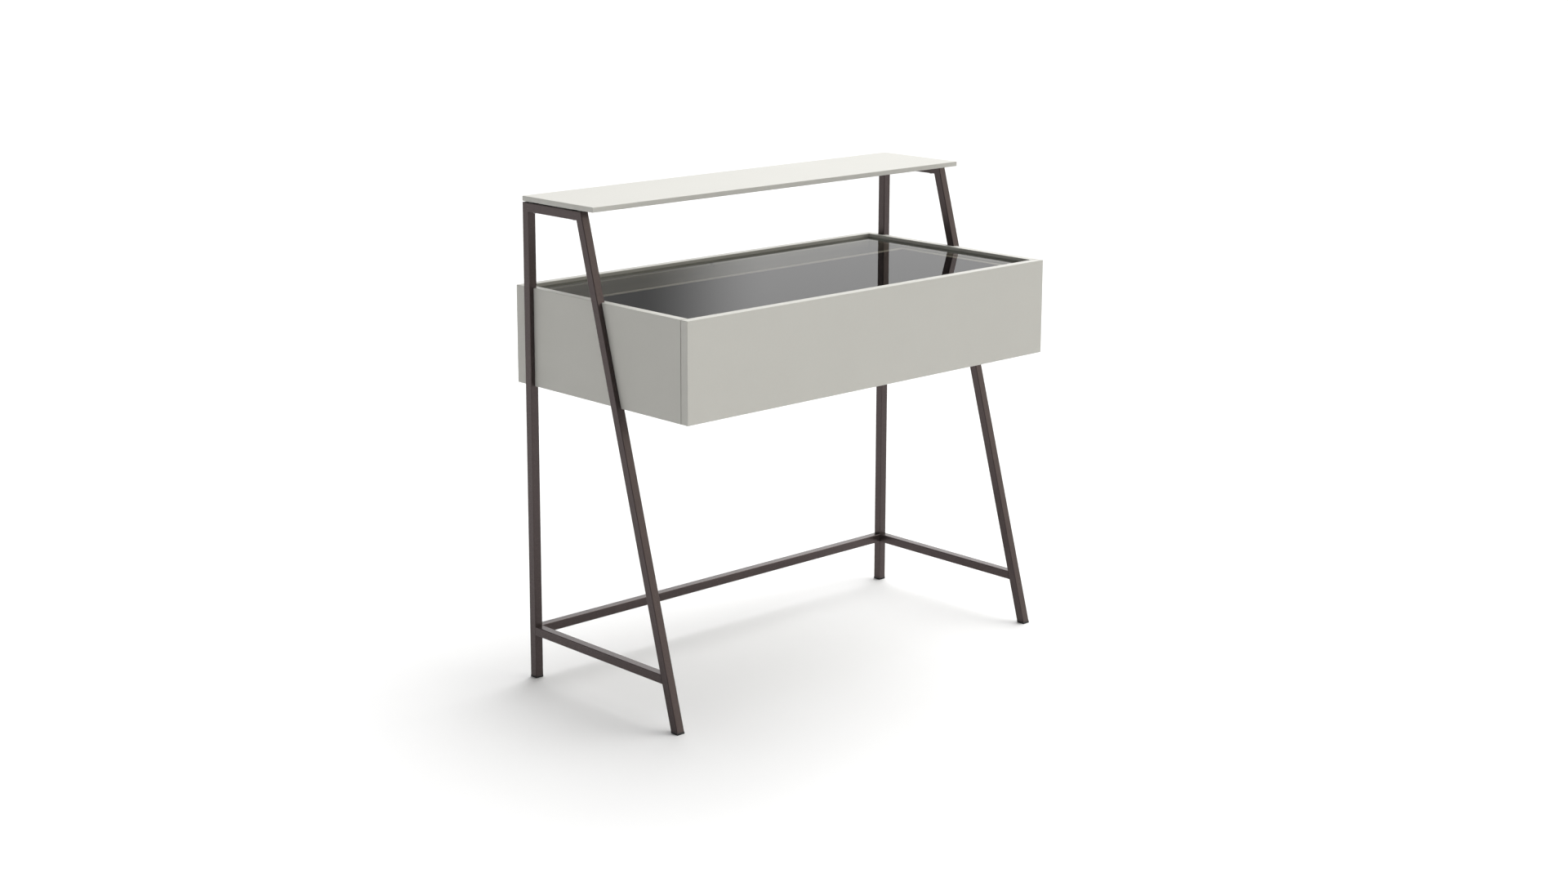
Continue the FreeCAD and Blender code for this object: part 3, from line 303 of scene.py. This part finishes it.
def recess_tool(form, size, depth, face):
    """A hexagon or cross that cuts a driver recess down from a face at height face."""
    arm = size / 4.5
    bpy.ops.object.select_all(action="DESELECT")
    if form == "hexagon":
        bpy.ops.mesh.primitive_cylinder_add(vertices=6, radius=size / 2, depth=2 * depth,
                                            location=(0, 0, face))
    else:
        bpy.ops.mesh.primitive_cube_add(size=1, location=(0, 0, face))
        bpy.context.object.scale = (arm, arm, 2 * depth)
        bpy.ops.object.transform_apply(location=True, rotation=True, scale=True)
        bpy.ops.object.mode_set(mode="EDIT")
        for way in (Vector((1, 0, 0)), Vector((-1, 0, 0)), Vector((0, 1, 0)), Vector((0, -1, 0))):
            pick("FACE", lambda face: face.normal.dot(way) > 0.9
                 and face.calc_center_median().dot(way) < size / 4)
            bpy.ops.mesh.extrude_region_move(
                TRANSFORM_OT_translate={"value": way * (size - arm) / 2})
        bpy.ops.object.mode_set(mode="OBJECT")
    return bpy.context.object


def screw_form(head, height, shank, length, recess, round_over=0, sunk=False):
    """A screw whose head bears at z = 0, with the driver recess below and its tip up."""
    tip, point = shank / 3, 0.55  # how long the narrowing end is, and how narrow it gets
    bpy.ops.object.select_all(action="DESELECT")
    low = 0 if sunk else -height
    bpy.ops.mesh.primitive_cylinder_add(vertices=32, radius=head / 2, depth=height,
                                        location=(0, 0, low + height / 2))
    form = bpy.context.object
    bpy.ops.object.transform_apply(location=True, rotation=True, scale=True)
    bpy.ops.object.mode_set(mode="EDIT")
    pick("FACE", lambda face: face.normal.z > 0.9)
    if sunk:
        narrow = shank / head
        bpy.ops.transform.resize(value=(narrow, narrow, 1), center_override=(0, 0, 0))
    else:
        bpy.ops.mesh.inset(thickness=(head - shank) / 2)
    bpy.ops.mesh.extrude_region_move(
        TRANSFORM_OT_translate={"value": (0, 0, length - (height if sunk else 0) - tip)})
    bpy.ops.mesh.extrude_region_move(TRANSFORM_OT_translate={"value": (0, 0, tip)})
    bpy.ops.transform.resize(value=(point, point, 1), center_override=(0, 0, 0))
    if round_over:
        pick("EDGE", lambda edge: abs(middle(edge).z - low) < SAME)
        bpy.ops.mesh.bevel(offset=round_over, segments=4)
    bpy.ops.object.mode_set(mode="OBJECT")
    return deepen(form, recess_tool(*recess, low))


def set_copies(name, node, form, towards, body, material):
    """Puts a copy of a form where each solid of a CAD node is, and replaces the node."""
    copies = []
    for low, high in solids_of(node):
        centre = (low + high) / 2
        way = Vector(towards(centre)).normalized()
        axis = max(range(3), key=lambda i: abs(way[i]))
        tip = high[axis] if way[axis] > 0 else low[axis]
        length = max(corner.co.z for corner in form.data.vertices)
        start = centre.copy()
        start[axis] = tip - way[axis] * length
        copy = form.copy()
        copy.data = form.data.copy()
        bpy.context.collection.objects.link(copy)
        turn = way.to_track_quat("Z", "Y").to_matrix().to_4x4()
        copy.matrix_world = Matrix.Translation(start) @ turn
        copies.append(copy)
    bpy.data.objects.remove(form)
    piece = join_as(name, copies, material)
    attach(piece, body)
    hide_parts(node)
    return piece


def outwards(centre):
    return (1 if centre.x > 0 else -1, 0, 0)


def inwards(centre):
    return (-1 if centre.x > 0 else 1, 0, 0)


SHELF_HEAD = 2*MM
low, high = solids_of("shelf_screws")[0]
shelf_screw = screw_form(head=8*MM, height=SHELF_HEAD, shank=4*MM,
                         length=high.z - low.z - SHELF_HEAD,
                         recess=("hexagon", 3*MM, 1.2*MM), round_over=1.2*MM)
set_copies("shelf_button_screws", "shelf_screws", shelf_screw, lambda centre: (0, 0, 1),
           "case", zinc_plate)

# ---------------------------------------------------------------------------
# Case. Four 18 mm fibreboards in the same lacquer: sides with grooves for the tubes, a back,
# and a floor set back for the fingers. Beech dowels and eccentric fittings of die cast zinc
# hold them together, and button head bolts into rivet nuts fix the sides to the frames.
# ---------------------------------------------------------------------------
coat(lacquer, "left_side_panel", "right_side_panel", "back_panel", "bottom_panel",
     "left_glass_ledge", "right_glass_ledge", "back_glass_ledge")
coat(zinc_plate, "cam_bolts", "rivet_nuts")

beech, tree, shader, place = new_finish("turned_beech", IOR=1.5, Roughness=0.6)
along = add(tree, "Mapping", {"Vector": place, "Scale": (0.08, 1, 1)})
grain = add(tree, "TexNoise", {"Vector": along.outputs["Vector"], "Scale": 1 / (1.2*MM),
                               "Detail": 4.0})
flecks = add(tree, "Mix", {0: grain.outputs["Fac"], 6: from_hex("#B98F66"),
                           7: from_hex("#D9B78F")}, data_type="RGBA")
tree.links.new(flecks.outputs[2], shader.inputs["Base Color"])
relief = add(tree, "Bump", {"Height": grain.outputs["Fac"], "Strength": 0.3,
                            "Distance": 0.1*MM})
tree.links.new(relief.outputs["Normal"], shader.inputs["Normal"])
coat(beech, "case_dowels", "drawer_dowels")

zinc_casting, tree, shader, place = new_finish("die_cast_zinc", Metallic=1.0)
skin = add(tree, "TexNoise", {"Vector": place, "Scale": 1 / (1.0*MM), "Detail": 4.0})
tint = add(tree, "Mix", {0: skin.outputs["Fac"], 6: from_hex("#8E9092"),
                         7: from_hex("#ABACAB")}, data_type="RGBA")
tree.links.new(tint.outputs[2], shader.inputs["Base Color"])
dull = add(tree, "MapRange", {"Value": skin.outputs["Fac"], "To Min": 0.38, "To Max": 0.58})
tree.links.new(dull.outputs["Result"], shader.inputs["Roughness"])
relief = add(tree, "Bump", {"Height": skin.outputs["Fac"], "Strength": 0.25,
                            "Distance": 0.05*MM})
tree.links.new(relief.outputs["Normal"], shader.inputs["Normal"])

CAM_WIDE, CAM_RIM, CAM_RING, CAM_STEP, CAM_EDGE = 15*MM, 1.2*MM, 1.5*MM, 0.4*MM, 0.3*MM
low, high = solids_of("cam_locks")[0]
cam_high = min(high - low)


def cam_form():
    """An eccentric fitting: its driver face at z = 0, its body above."""
    bpy.ops.object.select_all(action="DESELECT")
    bpy.ops.mesh.primitive_cylinder_add(vertices=40, radius=CAM_WIDE / 2, depth=cam_high,
                                        location=(0, 0, cam_high / 2))
    form = bpy.context.object
    bpy.ops.object.transform_apply(location=True, rotation=True, scale=True)
    bpy.ops.object.mode_set(mode="EDIT")
    pick("FACE", lambda face: face.normal.z < -0.9)
    bpy.ops.mesh.inset(thickness=CAM_RIM)
    bpy.ops.mesh.extrude_region_move(TRANSFORM_OT_translate={"value": (0, 0, CAM_STEP)})
    bpy.ops.mesh.inset(thickness=CAM_RING)
    bpy.ops.mesh.extrude_region_move(TRANSFORM_OT_translate={"value": (0, 0, -CAM_STEP)})
    pick("EDGE", lambda edge: abs(middle(edge).z) < SAME
         and middle(edge).xy.length > CAM_WIDE * 0.49)  # the outer rim, not the steps in it
    bpy.ops.mesh.bevel(offset=CAM_EDGE, segments=2)
    bpy.ops.object.mode_set(mode="OBJECT")
    return deepen(form, recess_tool("cross", size=6*MM, depth=2.5*MM, face=0))


floor_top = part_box("bottom_panel")[1].z
set_copies("cam_locks_cast", "cam_locks", cam_form(),
           lambda centre: (0, 0, 1) if centre.z < floor_top else (0, 1, 0),
           "case", zinc_casting)

BOLT_HEAD = 3.3*MM
low, high = solids_of("frame_bolts")[0]
bolt = screw_form(head=12*MM, height=BOLT_HEAD, shank=6*MM, length=high.x - low.x - BOLT_HEAD,
                  recess=("hexagon", 4.6*MM, 2*MM), round_over=2*MM)
set_copies("frame_button_bolts", "frame_bolts", bolt, outwards, "case", zinc_plate)


def ledge_way(centre):
    """Into the side panels, or into the back panel for the screws of the back batten."""
    return outwards(centre) if abs(centre.x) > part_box("back_glass_ledge")[1].x else (0, 1, 0)


ledge_screw = screw_form(head=6.5*MM, height=1.8*MM, shank=3.5*MM, length=19*MM,
                         recess=("cross", 3.4*MM, 1.5*MM), sunk=True)
set_copies("ledge_countersunk_screws", "ledge_screws", ledge_screw, ledge_way, "case",
           zinc_plate)

# ---------------------------------------------------------------------------
# Clear bumpers. Small self-adhesive domes of cast clear polyurethane: under the glass they
# keep it off the battens, and on the front ends of the sides they soften the drawer's stop.
# ---------------------------------------------------------------------------
clear_dots, tree, shader, place = new_finish(
    "cast_clear_polyurethane", IOR=1.5, Transmission_Weight=0.7)
haze = add(tree, "TexNoise", {"Vector": place, "Scale": 1 / (1.5*MM), "Detail": 2.0})
milky = add(tree, "Mix", {0: haze.outputs["Fac"], 6: from_hex("#DAD9D2"),
                          7: from_hex("#F0EFE9")}, data_type="RGBA")
tree.links.new(milky.outputs[2], shader.inputs["Base Color"])
frosted = add(tree, "MapRange", {"Value": haze.outputs["Fac"], "To Min": 0.18, "To Max": 0.32})
tree.links.new(frosted.outputs["Result"], shader.inputs["Roughness"])


def dome_form(wide, high):
    """A dome that stands on z = high and bulges down to z = 0."""
    bpy.ops.object.select_all(action="DESELECT")
    bpy.ops.mesh.primitive_cylinder_add(vertices=28, radius=wide / 2, depth=high,
                                        location=(0, 0, high / 2))
    form = bpy.context.object
    bpy.ops.object.transform_apply(location=True, rotation=True, scale=True)
    bpy.ops.object.mode_set(mode="EDIT")
    pick("EDGE", lambda edge: abs(middle(edge).z) < SAME)
    bpy.ops.mesh.bevel(offset=high * 0.95, segments=5)  # rounded over nearly its whole height
    bpy.ops.object.mode_set(mode="OBJECT")
    return form


for name, node, way in (("glass_domes", "glass_bumpers", (0, 0, -1)),
                        ("drawer_stop_domes", "drawer_bumpers", (0, 1, 0))):
    low, high = solids_of(node)[0]
    set_copies(name, node, dome_form(max(high - low), min(high - low)),
               lambda centre: way, "case", clear_dots)

# ---------------------------------------------------------------------------
# Glass top. 6 mm float glass tinted smoke grey, with ground and frosted edges, let in below
# the rim. It mirrors at a low angle and lets a little under two thirds of the light through.
# ---------------------------------------------------------------------------
GLASS_PASS = (0.80, 0.79, 0.755, 1)  # through each face, so about 0.6 through the sheet
smoked_glass, tree, shader, place = new_finish("smoked_float_glass", IOR=1.52, Roughness=0.4)
shape = add(tree, "NewGeometry")
frost = add(tree, "TexNoise", {"Vector": place, "Scale": 1 / (0.6*MM), "Detail": 2.0})
ground_edge = add(tree, "Mix", {0: frost.outputs["Fac"], 6: from_hex("#4E5452"),
                                7: from_hex("#687069")}, data_type="RGBA")
tree.links.new(ground_edge.outputs[2], shader.inputs["Base Color"])
see = add(tree, "BsdfTransparent", {"Color": GLASS_PASS})
mirror = add(tree, "BsdfGlossy", {"Color": (1, 1, 1, 1), "Roughness": 0.015})
ripple = add(tree, "TexNoise", {"Vector": place, "Scale": 1 / (90*MM), "Detail": 1.0})
wave = add(tree, "Bump", {"Height": ripple.outputs["Fac"], "Strength": 0.02,
                          "Distance": 0.5*MM})
tree.links.new(wave.outputs["Normal"], mirror.inputs["Normal"])
fresnel = add(tree, "Fresnel", {"IOR": 1.52})
outer = add(tree, "Math", {0: 1.0, 1: shape.outputs["Backfacing"]}, operation="SUBTRACT")
share = add(tree, "Math", {0: fresnel.outputs["Fac"], 1: outer.outputs["Value"]},
            operation="MULTIPLY")
pane = add(tree, "MixShader", {0: share.outputs["Value"], 1: see.outputs["BSDF"],
                               2: mirror.outputs["BSDF"]})
facing = add(tree, "SeparateXYZ", {"Vector": shape.outputs["Normal"]})
upright = add(tree, "Math", {0: facing.outputs["Z"]}, operation="ABSOLUTE")
is_edge = add(tree, "Math", {0: upright.outputs["Value"], 1: 0.9}, operation="LESS_THAN")
whole = add(tree, "MixShader", {0: is_edge.outputs["Value"], 1: pane.outputs["Shader"],
                                2: shader.outputs["BSDF"]})
tree.links.new(whole.outputs["Shader"], tree.nodes["Material Output"].inputs["Surface"])
coat(smoked_glass, "glass_top")

# ---------------------------------------------------------------------------
# Drawer. A lacquered full overlay front, screwed to a dowelled box of 12 mm lacquered boards.
# The bottom is a 6 mm board faced with grey melamine paper, which has a fine pressed grain.
# ---------------------------------------------------------------------------
coat(lacquer, "drawer_front", "drawer_inner_front", "drawer_left_side", "drawer_right_side",
     "drawer_back")
coat(zinc_plate, "drawer_front_screws")

melamine, tree, shader, place = new_finish("grey_melamine_board", IOR=1.5)
pressed = add(tree, "TexNoise", {"Vector": place, "Scale": 1 / (1.8*MM), "Detail": 4.0})
paper = add(tree, "Mix", {0: pressed.outputs["Fac"], 6: from_hex("#8A8A87"),
                          7: from_hex("#9C9C98")}, data_type="RGBA")
tree.links.new(paper.outputs[2], shader.inputs["Base Color"])
dull = add(tree, "MapRange", {"Value": pressed.outputs["Fac"], "To Min": 0.4, "To Max": 0.6})
tree.links.new(dull.outputs["Result"], shader.inputs["Roughness"])
relief = add(tree, "Bump", {"Height": pressed.outputs["Fac"], "Strength": 0.2,
                            "Distance": 0.05*MM})
tree.links.new(relief.outputs["Normal"], shader.inputs["Normal"])
coat(melamine, "drawer_bottom")

# ---------------------------------------------------------------------------
# Drawer liner. A tray of 2 mm board covered in dark microfibre suede, which is folded over the
# rim and glued, with soft corners. The nap lies in patches and catches light at a low angle.
# ---------------------------------------------------------------------------
suede, tree, shader, place = new_finish(
    "dark_microfibre_suede", IOR=1.45, Roughness=0.95, Specular_IOR_Level=0.2,
    Sheen_Weight=0.35, Sheen_Roughness=0.45)
shader.inputs["Sheen Tint"].default_value = from_hex("#8C8A88")
nap = add(tree, "TexNoise", {"Vector": place, "Scale": 1 / (25*MM), "Detail": 4.0})
fibre = add(tree, "TexNoise", {"Vector": place, "Scale": 1 / (0.9*MM), "Detail": 3.0})
brushed = add(tree, "Math", {0: nap.outputs["Fac"], 1: fibre.outputs["Fac"]},
              operation="MULTIPLY")
spread = add(tree, "MapRange", {"Value": brushed.outputs["Value"], "From Min": 0.1,
                                "From Max": 0.45})
cloth = add(tree, "Mix", {0: spread.outputs["Result"], 6: from_hex("#141415"),
                          7: from_hex("#232323")}, data_type="RGBA")
tree.links.new(cloth.outputs[2], shader.inputs["Base Color"])
relief = add(tree, "Bump", {"Height": fibre.outputs["Fac"], "Strength": 0.5,
                            "Distance": 0.15*MM})
tree.links.new(relief.outputs["Normal"], shader.inputs["Normal"])

LINER_WALL, LINER_CORNER, LINER_FOOT, LINER_RIM = 2*MM, 7*MM, 3*MM, 0.8*MM
low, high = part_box("drawer_liner")
bpy.ops.object.select_all(action="DESELECT")
bpy.ops.mesh.primitive_cube_add(size=1, location=(low + high) / 2)
liner = bpy.context.object
liner.scale = high - low
bpy.ops.object.transform_apply(location=True, rotation=True, scale=True)
bpy.ops.object.mode_set(mode="EDIT")
pick("FACE", lambda face: face.normal.z > 0.9)
bpy.ops.mesh.delete(type="ONLY_FACE")
pick("EDGE", lambda edge: abs(edge.verts[0].co.z - edge.verts[1].co.z) > LINER_CORNER)
bpy.ops.mesh.bevel(offset=LINER_CORNER, segments=6)
pick("EDGE", lambda edge: max(vert.co.z for vert in edge.verts) < low.z + CLOSE)
bpy.ops.mesh.bevel(offset=LINER_FOOT, segments=4)
bpy.ops.mesh.select_all(action="SELECT")
bpy.ops.mesh.normals_make_consistent(inside=False)
bpy.ops.object.mode_set(mode="OBJECT")
wall = liner.modifiers.new("board", "SOLIDIFY")
wall.thickness, wall.offset, wall.use_even_offset = LINER_WALL, -1, True
rim = liner.modifiers.new("folded rim", "BEVEL")
rim.width, rim.segments = LINER_RIM, 3
rim.limit_method, rim.angle_limit = "ANGLE", radians(60)
for modifier in ("board", "folded rim"):
    bpy.ops.object.modifier_apply(modifier=modifier)
liner = join_as("suede_liner_tray", [liner], suede, sharp=radians(50))
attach(liner, "drawer")
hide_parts("drawer_liner")

# ---------------------------------------------------------------------------
# Runners. Full steel drawer runners of three nested rolled channels, zinc plated, with pan
# head screws with a cross recess. The plating keeps the drawn lines of the strip.
# ---------------------------------------------------------------------------
coat(zinc_plate, "left_cabinet_runner", "right_cabinet_runner", "left_middle_runner",
     "right_middle_runner", "left_drawer_runner", "right_drawer_runner")

PAN_HEAD = 1*MM
for name, node, body, way in (
        ("cabinet_pan_screws", "cabinet_runner_screws", "case", outwards),
        ("drawer_pan_screws", "drawer_runner_screws", "drawer", inwards)):
    low, high = solids_of(node)[0]
    pan_screw = screw_form(head=7*MM, height=PAN_HEAD, shank=3.5*MM,
                           length=high.x - low.x - PAN_HEAD,
                           recess=("cross", 3.2*MM, 0.7*MM), round_over=0.5*MM)
    set_copies(name, node, pan_screw, way, body, zinc_plate)

# ---------------------------------------------------------------------------
# Studio. A plain white floor under a soft sky with five broad lamps: a strong one above and
# to the right, three weaker ones round the table, and one high behind it for the steel.
# ---------------------------------------------------------------------------
floor_white, tree, shader, place = new_finish("white_studio_floor", IOR=1.45, Roughness=0.9,
                                              Specular_IOR_Level=0.0)
paper = add(tree, "TexNoise", {"Vector": place, "Scale": 3.0, "Detail": 2.0})
white = add(tree, "Mix", {0: paper.outputs["Fac"], 6: from_hex("#E8E8E8"),
                          7: from_hex("#EAEAEA")}, data_type="RGBA")
tree.links.new(white.outputs[2], shader.inputs["Base Color"])
bpy.ops.object.select_all(action="DESELECT")
bpy.ops.mesh.primitive_plane_add(size=120)
floor = bpy.context.object
floor.name = "studio_floor"
floor.data.materials.append(floor_white)
floor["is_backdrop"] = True

SKY_GREY = 0.16
LAMPS = (  # direction, half angles where it ends and where it is full, strength, colour
    ((0.55, 0.00, 0.84), 48, 26, 3.4, (1.00, 1.00, 1.00)),
    ((0.60, -0.76, 0.24), 26, 15, 1.50, (1.00, 0.96, 0.86)),
    ((-0.60, 0.75, 0.30), 40, 20, 0.35, (1.00, 1.00, 1.00)),
    ((0.94, 0.34, 0.20), 29.6, 26.4, 0.53, (1.00, 1.00, 1.00)),
    ((0.55, 0.59, 0.62), 24.5, 20, 1.6, (1.00, 1.00, 1.00)),
)
world = bpy.data.worlds.new("soft_sky")
bpy.context.scene.world = world
world.use_nodes = True
tree = world.node_tree
sky = tree.nodes["Background"]
ray = add(tree, "TexCoord").outputs["Generated"]
light = (SKY_GREY, SKY_GREY, SKY_GREY)
for direction, end, full, strength, colour in LAMPS:
    near = add(tree, "VectorMath", {0: ray, 1: Vector(direction).normalized()},
               operation="DOT_PRODUCT")
    glow = add(tree, "MapRange", {"Value": near.outputs["Value"], "From Min": cos(radians(end)),
                                  "From Max": cos(radians(full)), "To Max": strength},
               interpolation_type="SMOOTHSTEP")
    light = add(tree, "VectorMath", {0: glow.outputs["Result"], 1: colour, 2: light},
                operation="MULTIPLY_ADD").outputs["Vector"]
tree.links.new(light, sky.inputs["Color"])

# the camera stands some 5 m away to the front left and looks down a little, with its frame
# shifted a little to bring the table to the middle of the picture
camera_data = bpy.data.cameras.new("camera")
camera = bpy.data.objects.new("camera", camera_data)
bpy.context.collection.objects.link(camera)
camera_data.sensor_width = 36
camera_data.lens = 55.24
camera_data.shift_x, camera_data.shift_y = 0.03, -0.06
camera_data.clip_end = 200
camera.location = (-3.2921, -3.4567, 1.6292)
camera.rotation_euler = (radians(90 - 11.726), 0, -radians(42.381))
bpy.context.scene.camera = camera
bpy.context.scene.view_settings.view_transform = "Standard"

low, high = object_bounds()
